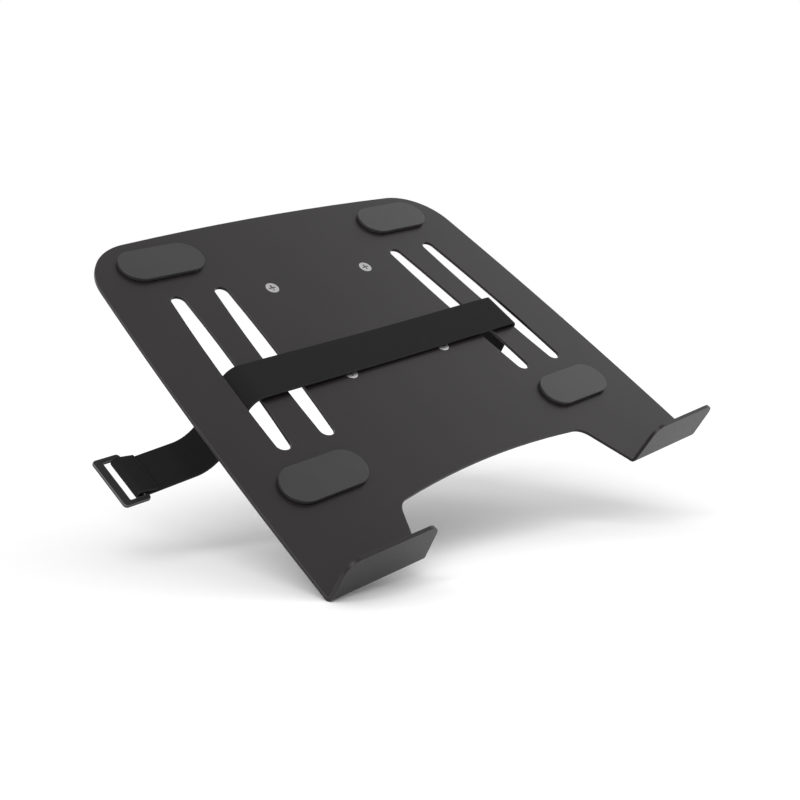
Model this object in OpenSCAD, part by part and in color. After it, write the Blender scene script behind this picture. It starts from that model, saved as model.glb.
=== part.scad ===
// Laptop tray for a monitor arm with a 75 x 75 mm head. A steel plate is bent up
// into two lips at its front edge, has four splayed strap slots, four stick-on
// pads and four countersunk screws. A hook-and-loop strap runs over the plate
// and down through the outer slots, with a plastic ring sewn in at its left end.
// Units are millimetres. X runs across the tray, Y towards its back edge and Z
// is the plate's normal. The origin is the centre of the screw pattern on the
// plate's underside, where the arm's head plate seats.

/* [Plate] */
// Thickness of the steel sheet
plate_t = 2; // [1.5:0.1:3]
// From the screw centre to the back edge, on the centre line
back_y = 97.4; // [88:0.1:110]
// Radius of the arched back edge
back_r = 1760; // [1200:10:3000]
// Radius of the long arc along each side
side_r = 2522; // [1600:2:4000]
// Half of the width where the side arcs are widest
side_half = 152; // [148:0.5:165]
// How far in front of the screw centre the side arcs are widest
side_peak = 205.8; // [150:0.1:240]
// Radius of the two back corners
corner_r = 35; // [20:0.5:42]
// From the screw centre to the front face of the lips
front_y = 158.5; // [150:0.5:170]

/* [Lips] */
// Inside radius of the bend
bend_r = 1.5; // [0.8:0.1:4]
// Height of the lips above the plate's underside
lip_h = 28.6; // [20:0.1:45]
// Radius of the lips' top corners
lip_corner_r = 7.5; // [2:0.5:12]
// How far the lips' inner ends lean outwards, in degrees
lip_lean = 5.5; // [0:0.5:15]

/* [Notch] */
// From the screw centre to the notch's inner edge, on the centre line
notch_y = 118.7; // [112:0.1:135]
// Radius of the notch's arched inner edge
notch_r = 510; // [300:10:1200]
// Half of the gap between the lips, at the bend
notch_half = 89.6; // [70:0.1:100]
// Angle that the notch's sides flare by
notch_flare = 23.5; // [10:0.5:30]
// Radius of the notch's inner corners
notch_corner_r = 11.5; // [3:0.5:16]

/* [Slots] */
// Length of each strap slot, end to end
slot_len = 120; // [100:1:126]
// Width of a slot half way along
slot_w = 11.9; // [10.5:0.1:15]
// Width of a slot's round ends
slot_end_w = 9.2; // [7:0.1:10]
// How far in front of the screw centre the slots are centred
slot_y = 12.5; // [8:0.5:18]
// From the centre line to the middle of each outer slot
slot_out_x = 105.3; // [102:0.1:112]
// From the centre line to the middle of each inner slot
slot_in_x = 75.3; // [68:0.1:80]
// Angle by which the slots run together towards the back
slot_splay = 5.35; // [3:0.05:7]

/* [Screws] */
// Spacing of the square screw pattern, both ways
screw_pitch = 75; // [75:25:100]
// Thread diameter of the screws
screw_d = 4; // [3:0.5:5]
// Length of the screws, from the flush head's top
screw_len = 12; // [8:1:25]
// Diameter of the countersunk heads
head_d = 8.3; // [7.5:0.1:9.5]
// How much wider the countersink is than the head
head_gap = 0.1; // [0.06:0.02:0.4]
// How much wider the plate's screw holes are than the thread
hole_gap = 0.8; // [0.4:0.1:1.2]
// Width of the cross recess's arms
cross_w = 1.1; // [0.8:0.1:1.4]
// Length of the cross recess, end to end
cross_l = 4.6; // [3.5:0.1:5]
// Depth of the cross recess
cross_deep = 1.8; // [1:0.1:2]

/* [Pads] */
// Length of a pad
pad_l = 54.5; // [40:0.5:64]
// Width of a pad, which is also the diameter of its round ends
pad_w = 24; // [16:0.5:28]
// Thickness of a pad without its adhesive film
pad_t = 2.3; // [1.5:0.1:4]
// Thickness of the adhesive film
film_t = 0.2; // [0.1:0.05:0.4]
// How far the film stays inside the pad's outline
film_inset = 0.5; // [0:0.1:2]
// From the plate's widest line in to the middle of each rear pad
pad_rear_in = 60.3; // [56:0.1:72]
// From the screw centre back to the rear pads
pad_rear_y = 73.8; // [70:0.1:78]
// From the plate's widest line in to the middle of each front pad
pad_front_in = 49.4; // [44:0.1:62]
// From the screw centre forwards to the front pads
pad_front_y = 95.2; // [92:0.1:104]
// How far the hand-laid front pads sit to the left of true
pad_front_shift = 2.3; // [0:0.1:4]

/* [Strap] */
// Width of the strap
strap_w = 25.2; // [20:0.1:30]
// Thickness of the strap
strap_t = 1.5; // [1:0.1:2.2]
// How far in front of the screw centre the strap runs
strap_y = 26.2; // [14:0.1:36]
// Gap between the strap and the plate at the middle of the run
strap_lift = 0.9; // [0.2:0.1:1]
// How much the strap rises from its middle to its folds
strap_rise = 0.9; // [0.5:0.1:2.5]
// Radius of the left fold, to the middle of the strap
fold_left_r = 9.2; // [7:0.1:12]
// Radius of the right fold, to the middle of the strap
fold_right_r = 4.2; // [4:0.1:7]
// Gap between the left fold and the outer edge of its slot
strap_gap_left = 1.6; // [1.2:0.1:2.5]
// Gap between the right fold and the inner edge of its slot
strap_gap_right = 0.45; // [0.45:0.05:1.5]
// Lean of the left hanging part, in degrees
lean_left = 10; // [2:1:14]
// Lean of the right hanging part, in degrees
lean_right = 2; // [1:1:8]
// Length of the straight hanging part on the left
drop_left = 29; // [20:0.5:45]
// Length of the straight hanging part on the right
drop_right = 20; // [12:0.5:30]
// Radius of the left lower bend, to the middle of the strap
low_r = 15.5; // [6:0.1:18]
// Radius of the right lower bend, to the middle of the strap
low_right_r = 40; // [10:1:60]
// Slope of the left tail, in degrees
tail_slope = 3.7; // [0:0.1:6]
// Slope of the right tail, which hangs down to its free end, in degrees
hang_slope = 52; // [40:1:60]
// Length of the left tail, from its lower bend to the loop
tail_left = 35.2; // [30:0.1:60]
// Length of the right tail, from its lower bend to the free end
tail_right = 66; // [64:0.5:90]
// Radius of the strap's loop round the ring's bar, to the middle of the strap
loop_r = 2.25; // [2.25:0.05:3]
// Length of the folded end, from the loop to its cut edge
flap_l = 10.2; // [9:0.1:16]
// Gap between the folded end and the strap under it
fold_gap = 0.25; // [0.1:0.05:0.4]
// Length of the hook patch on the free end
patch_l = 60; // [40:1:60]
// Thickness of the hook patch
patch_t = 1.2; // [0.8:0.1:2]
// From the strap's free end to the edge of the hook patch
patch_end = 1.5; // [0.5:0.5:4]

/* [Stitching] */
// Length of one stitch
stitch_l = 2.4; // [1.5:0.1:3]
// Thickness of the thread
stitch_t = 0.35; // [0.2:0.05:0.5]
// Distance from one stitch to the next
stitch_step = 3.4; // [3.2:0.1:5]

/* [Ring] */
// Thickness of the ring, which is also the diameter of its bar in the loop
ring_t = 1.8; // [1.2:0.1:1.8]
// Gap between that bar and the strap under it
bar_gap = 0.3; // [0.3:0.05:0.4]
// From the middle of the loop's bend back to that bar
bar_back = 2.2; // [1:0.1:2.2]
// How far the ring is tilted up from the strap, in degrees
ring_tilt = 4; // [0:1:12]
// Gap between the strap's sides and the ring's arms
ring_side_gap = 0.7; // [0.7:0.1:3]
// How far the ring sits forward of the strap's middle
ring_shift = 0.4; // [0:0.1:0.4]
// Width of the ring's arms
ring_arm_w = 3.3; // [2:0.1:4]
// Width of the ring's open bar
ring_bar_w = 5.1; // [3:0.1:6]
// Free gap between the open bar and the strap's loop
ring_open = 4.3; // [4.3:0.1:8]
// How far the arms reach past the middle of the bar in the loop
ring_end = 1.6; // [1:0.1:2]
// Radius of the ring's corners
ring_corner_r = 2.2; // [1:0.1:3]

/* [Hidden] */
$fn = 96;
// Facets of the long, nearly straight arcs
ARC_FN = 1080;

// Plan outline: centres of the side arc and of the back arc
side_c = [side_half - side_r, -side_peak];
back_c = [0, back_y - back_r];
// Outer radius of the bend
bend_out = bend_r + plate_t;
// Where the flat of the plate ends and the bend starts
bend_y = -front_y + bend_out;

function unit(v) = v / norm(v);
function rev(p) = [for (i = [len(p) - 1:-1:0]) p[i]];
// Half width of the plate at y
function side_x(y) = side_c[0] + sqrt(side_r * side_r - pow(y - side_c[1], 2));
// Left-hand crossing of two circles, seen from a to b
function meet(a, ra, b, rb) =
    let (d = norm(b - a), u = (b - a) / d, m = (d * d + ra * ra - rb * rb) / (2 * d))
    a + m * u + sqrt(ra * ra - m * m) * [-u[1], u[0]];
// Far crossing of the line from p along unit direction u with a circle
function line_meet(p, u, c, r) =
    let (q = p - c, b = q * u) p + u * (sqrt(b * b - q * q + r * r) - b);

// Back corner: centre of its circle and the points where it leaves the arcs
corner_c = meet(side_c, side_r - corner_r, back_c, back_r - corner_r);
corner_side = corner_c + corner_r * unit(corner_c - side_c);
corner_back = corner_c + corner_r * unit(corner_c - back_c);

// Notch: arc centre, flared side and the circle in its inner corner
notch_c = [0, -notch_y - notch_r];
notch_u = [-sin(notch_flare), cos(notch_flare)];
notch_n = [-cos(notch_flare), -sin(notch_flare)];
notch_k = line_meet([notch_half, bend_y] + notch_corner_r * notch_n, notch_u,
    notch_c, notch_r - notch_corner_r);
notch_k_side = notch_k - notch_corner_r * notch_n;
notch_k_arc = notch_k + notch_corner_r * unit(notch_k - notch_c);

// Pads: from the centre line to the middle of a rear and a front pad
pad_rear_x = side_half - pad_rear_in;
pad_front_x = side_half - pad_front_in;

// Slots: the sides are arcs between the round ends
slot_half = slot_w / 2;
slot_end_r = slot_end_w / 2;
slot_chord = slot_len / 2 - slot_end_r;
slot_sag = slot_half - slot_end_r;
slot_arc_r = (slot_chord * slot_chord + slot_sag * slot_sag) / (2 * slot_sag);
// Middle and half width of an outer slot at y
function slot_mid(y) = slot_out_x - (y + slot_y) * tan(slot_splay);
function slot_side(y) =
    slot_half - slot_arc_r + sqrt(slot_arc_r * slot_arc_r - pow(y + slot_y, 2));

// Screw holes
hole_r = (screw_d + hole_gap) / 2;
sink_r = (head_d + head_gap) / 2;

// Strap: y of its two edges
strap_back = -strap_y + strap_w / 2;
strap_front = -strap_y - strap_w / 2;
// Height of the middle of the strap half way across, and at the folds
mid_z = plate_t + strap_lift + strap_t / 2;
top_z = mid_z + strap_rise;
// Outer face of the left fold at the plate's underside, and the inner face of
// the right fold at the plate's top face, each held off its slot's edge
left_face = -(slot_mid(strap_back) + slot_side(strap_back)) + strap_gap_left;
right_face = slot_mid(strap_front) - slot_side(strap_front) + strap_gap_right;
// Centre height of each fold, and then its centre line
left_cz = top_z - fold_left_r;
right_cz = top_z - fold_right_r;
left_cx = left_face + sqrt(pow(fold_left_r + strap_t / 2, 2) - left_cz * left_cz);
right_cx = right_face - sqrt(pow(fold_right_r - strap_t / 2, 2)
    - pow(max(0, plate_t - right_cz), 2));

// An arc's points after its start p, with heading h, turning by turn degrees
function arc(p, h, r, turn, n) =
    let (s = sign(turn), c = p + r * s * [-sin(h), cos(h)])
    [for (i = [1:n]) c + r * s * [sin(h + turn * i / n), -cos(h + turn * i / n)]];
function go(p, h, d) = p + d * [cos(h), sin(h)];
function last(p) = p[len(p) - 1];

// Left half of the strap's middle line, from the centre to the folded end
run_n = 12;
left_run = [for (i = [0:run_n]) let (s = i / run_n)
    [left_cx * s, mid_z + strap_rise * (3 * s * s - 2 * s * s * s)]];
left_fold = arc(last(left_run), 180, fold_left_r, 90 - lean_left, 20);
left_drop = [go(last(left_fold), 270 - lean_left, drop_left)];
left_low = arc(last(left_drop), 270 - lean_left, low_r, -(90 - lean_left - tail_slope), 16);
tail_h = 180 + tail_slope;
left_tail = [for (i = [1:4]) go(last(left_low), tail_h, tail_left * i / 4)];
// The loop round the ring's bar, and the folded end that comes back down to
// the tail at the angle that leaves fold_gap under its cut edge
loop = arc(last(left_tail), tail_h, loop_r, -180, 28);
tail_up = [sin(tail_h), -cos(tail_h)];
bar_c = last(left_tail) + (strap_t / 2 + bar_gap + ring_t / 2) * tail_up
    - bar_back * [cos(tail_h), sin(tail_h)];
flap_dip = acos((strap_t + fold_gap - loop_r) / norm([loop_r, flap_l])) - atan2(flap_l, loop_r);
loop_end = arc(last(loop), tail_h - 180, loop_r, -flap_dip, 3);
flap_h = tail_h - 180 - flap_dip;
flap = [for (i = [1:2]) go(last(loop_end), flap_h, flap_l * i / 2)];
left_path = concat(left_run, left_fold, left_drop, left_low, left_tail, loop, loop_end, flap);

// Right half, from the centre to the free end
right_run = [for (i = [1:run_n]) let (s = i / run_n)
    [right_cx * s, mid_z + strap_rise * (3 * s * s - 2 * s * s * s)]];
right_fold = arc(last(right_run), 0, fold_right_r, -(90 - lean_right), 20);
right_drop = [go(last(right_fold), -90 + lean_right, drop_right)];
right_low = arc(last(right_drop), -90 + lean_right, low_right_r,
    90 - lean_right - hang_slope, 16);
right_tail = [for (i = [1:6]) go(last(right_low), -hang_slope, tail_right * i / 6)];
right_path = concat(right_run, right_fold, right_drop, right_low, right_tail);
free_end = last(right_path);
strap_path = concat(rev(right_path), left_path);

// Offset of a path to one side, by the direction at each point
function dir(p, i) = unit(p[min(len(p) - 1, i + 1)] - p[max(0, i - 1)]);
function beside(p, d) = [for (i = [0:len(p) - 1]) p[i] + d * [-dir(p, i)[1], dir(p, i)[0]]];
function path_len(p, i = 1) = i < len(p) ? norm(p[i] - p[i - 1]) + path_len(p, i + 1) : 0;
echo(strap_length = path_len(strap_path), bar = bar_c, free_end = free_end);

// Ring: width of its window, and how far its open bar's edges are from the bar
// in the loop
ring_window = strap_w + 2 * ring_side_gap;
ring_in = bar_back + loop_r + strap_t / 2 + ring_open;
ring_out = ring_in + ring_bar_w;

// Draws an X-Z outline between two values of y
module across(y0, y1)
    translate([0, y1, 0]) rotate([90, 0, 0]) linear_extrude(y1 - y0) children();

module both_sides() {
    children();
    mirror([1, 0]) children();
}

// What rounding takes off a convex corner: c is the round's centre, and a and b
// are the points where it leaves the two edges. The circle is a hair too large,
// so that it crosses the edges instead of only touching them
module corner_cut(c, r, a, b) {
    m = (a + b) / 2 - c;
    difference() {
        polygon([c, a, c + 1.2 * pow(r / norm(m), 2) * m, b]);
        translate(c) circle(r + 0.002);
    }
}

module plan_outline() difference() {
    intersection() {
        translate(side_c) circle(side_r, $fn = ARC_FN);
        mirror([1, 0]) translate(side_c) circle(side_r, $fn = ARC_FN);
        translate(back_c) circle(back_r, $fn = ARC_FN);
        translate([-side_half - 5, -front_y - 1])
            square([2 * side_half + 10, front_y + back_y + 10]);
    }
    both_sides() corner_cut(corner_c, corner_r, corner_side, corner_back);
}

module notch_outline() difference() {
    top = -notch_y + 5;
    low = -front_y - 5;
    top_x = notch_half - (top - bend_y) * tan(notch_flare);
    intersection() {
        translate(notch_c) circle(notch_r, $fn = ARC_FN);
        polygon([[-notch_half, low], [notch_half, low], [notch_half, bend_y], [top_x, top],
            [-top_x, top], [-notch_half, bend_y]]);
    }
    both_sides() corner_cut(notch_k, notch_corner_r, notch_k_side, notch_k_arc);
}

module slot_outline() {
    intersection() {
        translate([slot_arc_r - slot_half, 0]) circle(slot_arc_r, $fn = ARC_FN);
        translate([slot_half - slot_arc_r, 0]) circle(slot_arc_r, $fn = ARC_FN);
        square([slot_w + 2, 2 * slot_chord], center = true);
    }
    for (s = [-1, 1]) translate([0, s * slot_chord]) circle(slot_end_r);
}

module slots_outline()
    for (side = [-1, 1], x = [slot_in_x, slot_out_x])
        translate([side * x, -slot_y]) rotate(side * slot_splay) slot_outline();

// Front view of what is cut off one lip: above the bend its inner end leans
// outwards, and both of its top corners are round
module lip_cut() {
    out_x = side_x(-front_y);
    c_z = lip_h - lip_corner_r;
    in_c = [notch_half + (c_z - bend_out) * tan(lip_lean) + lip_corner_r / cos(lip_lean), c_z];
    out_c = [out_x - lip_corner_r, c_z];
    polygon([[notch_half - 8, 0], [notch_half - bend_out * tan(lip_lean), 0],
        [notch_half + (lip_h + 2 - bend_out) * tan(lip_lean), lip_h + 2],
        [notch_half - 8, lip_h + 2]]);
    corner_cut(in_c, lip_corner_r, in_c - lip_corner_r * [cos(lip_lean), -sin(lip_lean)],
        [in_c[0], lip_h]);
    corner_cut(out_c, lip_corner_r, [out_c[0], lip_h], [out_x, c_z]);
}

// Side view of the sheet: flat, bend and lip
module sheet_profile() {
    translate([bend_y, 0]) square([back_y - bend_y + 5, plate_t]);
    intersection() {
        difference() {
            translate([bend_y, bend_out]) circle(bend_out);
            translate([bend_y, bend_out]) circle(bend_r);
        }
        translate([-front_y, 0]) square([bend_out, bend_out]);
    }
    translate([-front_y, bend_out]) square([plate_t, lip_h - bend_out]);
}

module tray_plate() color([0.25, 0.24, 0.24]) difference() {
    intersection() {
        translate([-side_half - 4, 0, 0]) rotate([90, 0, 90])
            linear_extrude(2 * side_half + 8) sheet_profile();
        translate([0, 0, -1]) linear_extrude(lip_h + 3) difference() {
            plan_outline();
            notch_outline();
            slots_outline();
        }
    }
    across(-front_y - 1, bend_y) both_sides() lip_cut();
    for (x = [-1, 1], y = [-1, 1]) translate([x, y] * screw_pitch / 2) {
        translate([0, 0, -1]) cylinder(h = plate_t + 2, r = hole_r);
        translate([0, 0, plate_t - (sink_r - hole_r)])
            cylinder(h = sink_r - hole_r + 1, r1 = hole_r, r2 = sink_r + 1);
    }
}

module stadium(l, w) {
    square([l - w, w], center = true);
    for (s = [-1, 1]) translate([s * (l - w) / 2, 0]) circle(w / 2);
}

module pad(x, y) color([0.32, 0.32, 0.32])
    translate([x, y, plate_t + film_t]) linear_extrude(pad_t) stadium(pad_l, pad_w);

module film(x, y) color([0.85, 0.82, 0.7])
    translate([x, y, plate_t]) linear_extrude(film_t)
        stadium(pad_l - 2 * film_inset, pad_w - 2 * film_inset);

module screw(x, y) color([0.78, 0.78, 0.78]) {
    head_r = head_d / 2;
    tip = screw_d / 8;
    translate([x, y, plate_t] * 1 + [0, 0, -0.02]) difference() {
        union() {
            translate([0, 0, screw_d / 2 - head_r])
                cylinder(h = head_r - screw_d / 2, r1 = screw_d / 2, r2 = head_r);
            translate([0, 0, tip - screw_len])
                cylinder(h = screw_len - tip - (head_r - screw_d / 2) + 0.01, r = screw_d / 2);
            translate([0, 0, -screw_len]) cylinder(h = tip, r1 = screw_d / 2 - tip, r2 = screw_d / 2);
        }
        for (a = [0, 90]) rotate(a) translate([-cross_l / 2, -cross_w / 2, -cross_deep])
            cube([cross_l, cross_w, cross_deep + 1]);
    }
}

module strap_webbing() color([0.15, 0.15, 0.15])
    across(strap_front, strap_back)
        polygon(concat(beside(strap_path, strap_t / 2), rev(beside(strap_path, -strap_t / 2))));

// The patch lies on the lower face of the right tail
module strap_hook_patch() color([0.1, 0.1, 0.1])
    across(strap_front, strap_back) translate(free_end) rotate(-hang_slope)
        translate([-patch_end - patch_l, -strap_t / 2 - patch_t]) square([patch_l, patch_t]);

// One row of stitches across the strap, flat on a face, in an X-Z frame
module stitch_row() {
    n = floor((strap_w - stitch_l) / stitch_step);
    for (i = [0:n]) translate([-stitch_t, -strap_y + (i - n / 2) * stitch_step - stitch_l / 2, 0])
        cube([2 * stitch_t, stitch_l, stitch_t]);
}

// One row holds the folded end, on its upper face
module loop_stitching() color([0.08, 0.08, 0.08])
    let (p = go(last(flap), flap_h, -1.5))
        translate([p[0], 0, p[1]]) rotate([0, -flap_h, 0])
            translate([0, 0, strap_t / 2]) stitch_row();

// Two rows hold the patch, seen on the strap's upper face
module patch_stitching() color([0.08, 0.08, 0.08])
    for (d = [patch_end + 2 * stitch_t, patch_end + patch_l - 2 * stitch_t])
        let (p = go(free_end, 180 - hang_slope, d))
        translate([p[0], 0, p[1]]) rotate([0, hang_slope, 0])
            translate([0, 0, strap_t / 2]) stitch_row();

// The ring is a flat frame. Its near bar, in the loop, is round, and between the
// ends of its arms
module strap_ring() color([0.17, 0.17, 0.17])
    translate([bar_c[0], -strap_y - ring_shift, bar_c[1]])
    rotate([0, ring_tilt - tail_slope, 0]) {
        half = ring_window / 2 + ring_arm_w;
        edge = ring_t / 2;
        difference() {
            intersection() {
                across(-half, half) {
                    for (x = [edge - ring_out, ring_end - edge]) translate([x, 0]) circle(edge);
                    translate([edge - ring_out, -edge])
                        square([ring_out + ring_end - ring_t, ring_t]);
                }
                translate([0, 0, -ring_t]) linear_extrude(2 * ring_t) {
                    translate([-ring_out - 1, ring_corner_r - half])
                        square([ring_out + ring_end + 2, 2 * (half - ring_corner_r)]);
                    translate([ring_corner_r - ring_out, -half - 1])
                        square([ring_out + ring_end - 2 * ring_corner_r, 2 * half + 2]);
                    for (x = [ring_corner_r - ring_out, ring_end - ring_corner_r], s = [-1, 1])
                        translate([x, s * (half - ring_corner_r)]) circle(ring_corner_r);
                }
            }
            translate([-ring_in, -ring_window / 2, -ring_t])
                cube([ring_in + ring_end + 1, ring_window, 2 * ring_t]);
        }
        translate([0, ring_window / 2 + 0.5, 0]) rotate([90, 0, 0])
            cylinder(h = ring_window + 1, r = edge - 0.01);
    }

tray_plate();
pad(-pad_rear_x, pad_rear_y);  // pad_rear_left
pad(pad_rear_x, pad_rear_y);  // pad_rear_right
pad(-pad_front_x - pad_front_shift, -pad_front_y);  // pad_front_left
pad(pad_front_x - pad_front_shift, -pad_front_y);  // pad_front_right
film(-pad_rear_x, pad_rear_y);  // film_rear_left
film(pad_rear_x, pad_rear_y);  // film_rear_right
film(-pad_front_x - pad_front_shift, -pad_front_y);  // film_front_left
film(pad_front_x - pad_front_shift, -pad_front_y);  // film_front_right
screw(-screw_pitch / 2, screw_pitch / 2);  // screw_rear_left
screw(screw_pitch / 2, screw_pitch / 2);  // screw_rear_right
screw(-screw_pitch / 2, -screw_pitch / 2);  // screw_front_left
screw(screw_pitch / 2, -screw_pitch / 2);  // screw_front_right
strap_webbing();
strap_hook_patch();
loop_stitching();
patch_stitching();
strap_ring();
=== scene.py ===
# %% [markdown]
# A laptop tray for a monitor arm
#
# The real object is a sheet of charcoal powder-coated steel with two lips, four rubber pads, four
# screws and a hook-and-loop strap that ends in a moulded ring. Its rigid solids come ready made,
# and this script dresses them: it makes the camera, the room, the finishes, and every soft or
# moulded piece that deserves a finer surface than a plain solid. All lengths are in metres.

import bmesh
import bpy
import numpy as np
from mathutils import Matrix, Vector


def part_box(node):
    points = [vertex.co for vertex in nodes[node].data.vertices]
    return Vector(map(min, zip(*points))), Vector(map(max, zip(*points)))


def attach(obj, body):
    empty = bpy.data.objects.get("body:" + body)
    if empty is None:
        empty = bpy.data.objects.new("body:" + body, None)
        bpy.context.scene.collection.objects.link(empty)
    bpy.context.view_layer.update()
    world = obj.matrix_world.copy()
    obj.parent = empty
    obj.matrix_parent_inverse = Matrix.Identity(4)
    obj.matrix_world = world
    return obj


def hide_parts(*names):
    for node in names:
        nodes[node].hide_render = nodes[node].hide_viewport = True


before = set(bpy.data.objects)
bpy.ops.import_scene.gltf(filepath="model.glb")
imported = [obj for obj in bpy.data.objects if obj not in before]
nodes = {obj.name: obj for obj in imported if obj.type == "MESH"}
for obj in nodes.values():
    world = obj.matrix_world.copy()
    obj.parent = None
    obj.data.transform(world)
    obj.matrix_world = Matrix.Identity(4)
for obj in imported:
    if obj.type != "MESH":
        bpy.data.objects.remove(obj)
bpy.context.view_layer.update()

# %% [markdown]
# Camera
#
# The camera was solved from the screw pattern, the slots and the plate's outline. Its position and
# its three directions are enough to rebuild it, so no tracking helper is needed: the directions
# become the columns of its matrix. A camera looks along its own minus Z.

# %% Camera
LENS_MM, SENSOR_MM = 57.49, 36.0
camera_place = Vector((-0.5018, -0.3567, 0.4322))
camera_right = Vector((0.698, -0.622, 0.355)).normalized()
camera_ahead = Vector((0.677, 0.413, -0.609))
camera_ahead = (camera_ahead - camera_ahead.project(camera_right)).normalized()
camera_up = camera_right.cross(camera_ahead)
lens_data = bpy.data.cameras.new("photo_camera")
lens_data.lens = LENS_MM
lens_data.sensor_width = SENSOR_MM
camera = bpy.data.objects.new("photo_camera", lens_data)
camera.matrix_world = Matrix.Translation(camera_place) @ Matrix(
    (camera_right, camera_up, -camera_ahead)).transposed().to_4x4()
bpy.context.scene.collection.objects.link(camera)
bpy.context.scene.camera = camera
bpy.context.scene.view_settings.view_transform = "Standard"
print("camera at", tuple(round(c, 3) for c in camera_place))

# %% [markdown]
# Room
#
# In the photograph the tray leans back on the left end of its front bend, so the floor is tilted
# against the plate, and it is set at the plate's lowest point along the floor's normal. The floor
# is white paper: it is one-sided, so that a view from below still shows the underside. An even
# sky, a wide sun from the camera's side and a faint one from the right light the tray softly. The
# right one makes the coat paler towards the right, as in the photograph. What the camera, mirrors
# and glass see of the sky is plain white.

# %% Floor, sky and sun
SKY_LIGHT, PAPER_WHITE, FLOOR_REACH = 0.66, 0.97, 9.0
room_up = Vector((0.179, 0.632, 0.754)).normalized()
plate_mesh = nodes["tray_plate"].data
plate_points = np.zeros(len(plate_mesh.vertices) * 3, np.float32)
plate_mesh.vertices.foreach_get("co", plate_points)
floor_drop = -float((plate_points.reshape(-1, 3) @ np.array(room_up)).min())
print(f"floor {floor_drop * 1000:.1f} mm under the origin")


def node_tree(owner):
    """Turns on an owner's nodes, empties them, and returns the tree."""
    owner.use_nodes = True
    owner.node_tree.nodes.clear()
    return owner.node_tree


def add_node(tree, kind, **settings):
    """Adds a node. A setting with the name of an input goes into that socket, in0, in1 and so on
    mean the input of that number, and others are the node's own properties. A value that is a
    socket is linked."""
    node = tree.nodes.new(kind)
    for name, value in settings.items():
        if name.startswith("in") and name[2:].isdigit():
            socket = node.inputs[int(name[2:])]
        else:
            socket = node.inputs.get(name.replace("_", " "))
        if socket is None:
            setattr(node, name, value)
        elif isinstance(value, bpy.types.NodeSocket):
            tree.links.new(value, socket)
        else:
            socket.default_value = value
    return node


def math(tree, what, a, b=0.0, c=0.0, clamp=False):
    """One Math node, and its result."""
    return add_node(tree, "ShaderNodeMath", operation=what, use_clamp=clamp,
                    in0=a, in1=b, in2=c).outputs[0]


def grey(level):
    """A colour with the same red, green and blue."""
    return (level,) * 3


def seen_directly(tree):
    """1 for rays that the eye, a mirror or glass sends out, and 0 for those that only light."""
    path = add_node(tree, "ShaderNodeLightPath")
    both = math(tree, "MAXIMUM", path.outputs["Is Camera Ray"], path.outputs["Is Glossy Ray"])
    return math(tree, "MAXIMUM", both, path.outputs["Is Transmission Ray"])


world = bpy.data.worlds.new("pale_room")
bpy.context.scene.world = world
tree = node_tree(world)
strength = add_node(tree, "ShaderNodeMix", data_type="FLOAT", in0=seen_directly(tree),
                    in2=SKY_LIGHT, in3=1.0)
sky = add_node(tree, "ShaderNodeBackground", Color=(1, 1, 1, 1), Strength=strength.outputs[0])
add_node(tree, "ShaderNodeOutputWorld", Surface=sky.outputs[0])

side = room_up.orthogonal().normalized()
floor_mesh = bpy.data.meshes.new("floor")
corners = [-floor_drop * room_up + FLOOR_REACH * (a * side + b * room_up.cross(side))
           for a, b in ((-1, -1), (1, -1), (1, 1), (-1, 1))]
floor_mesh.from_pydata([tuple(c) for c in corners], [], [(0, 1, 2, 3)])
floor = bpy.data.objects.new("floor", floor_mesh)
bpy.context.scene.collection.objects.link(floor)

paper = bpy.data.materials.new("white_paper")
tree = node_tree(paper)
matt = add_node(tree, "ShaderNodeBsdfDiffuse", Color=(*grey(PAPER_WHITE), 1))
clear = add_node(tree, "ShaderNodeBsdfTransparent")
back = add_node(tree, "ShaderNodeNewGeometry").outputs["Backfacing"]
both = add_node(tree, "ShaderNodeMixShader", in0=back, in1=matt.outputs[0], in2=clear.outputs[0])
add_node(tree, "ShaderNodeOutputMaterial", Surface=both.outputs[0])
floor_mesh.materials.append(paper)

level_ahead = (camera_ahead - camera_ahead.project(room_up)).normalized()
level_right = level_ahead.cross(room_up)


def soft_sun(name, source, energy, width):
    """A sun lamp whose light comes from the direction source; width is its angle in radians."""
    data = bpy.data.lights.new(name, "SUN")
    data.energy = energy
    data.angle = width
    lamp = bpy.data.objects.new(name, data)
    lamp.rotation_euler = source.to_track_quat("Z", "Y").to_euler()
    bpy.context.scene.collection.objects.link(lamp)


front_source = -0.818 * level_ahead - 0.142 * level_right + 0.558 * room_up
right_source = Vector((0.89, 0.16, 0.42))
soft_sun("front_sun", front_source, energy=2.4, width=0.86)
soft_sun("right_sun", right_source, energy=0.3, width=0.8)
print("floor normal", tuple(round(c, 3) for c in floor_mesh.polygons[0].normal))

# %% [markdown]
# Surfaces from grids
#
# Every new piece is a function of two parameters on a grid, whose columns run round the piece. The
# helper turns such a grid of points into quads, joins the last column to the first, and merges
# points that fall together, which closes the ends of a piece. Writing the whole arrays at once is
# quicker than a loop over points.

# %% Grid helper
MERGE = 1e-6


def grid_quads(rows, columns):
    """The faces of a grid: each joins (i, j), (i, j+1), (i+1, j+1) and (i+1, j), and the last
    column j is followed by the first."""
    i, j = np.meshgrid(np.arange(rows - 1), np.arange(columns), indexing="ij")
    k = (j + 1) % columns
    return np.stack([i * columns + j, i * columns + k, (i + 1) * columns + k,
                     (i + 1) * columns + j], -1).reshape(-1, 4)


def smooth_piece(name, mesh):
    """An object for a finished mesh, shaded smooth."""
    mesh.polygons.foreach_set("use_smooth", [True] * len(mesh.polygons))
    piece = bpy.data.objects.new(name, mesh)
    bpy.context.scene.collection.objects.link(piece)
    return piece


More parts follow.
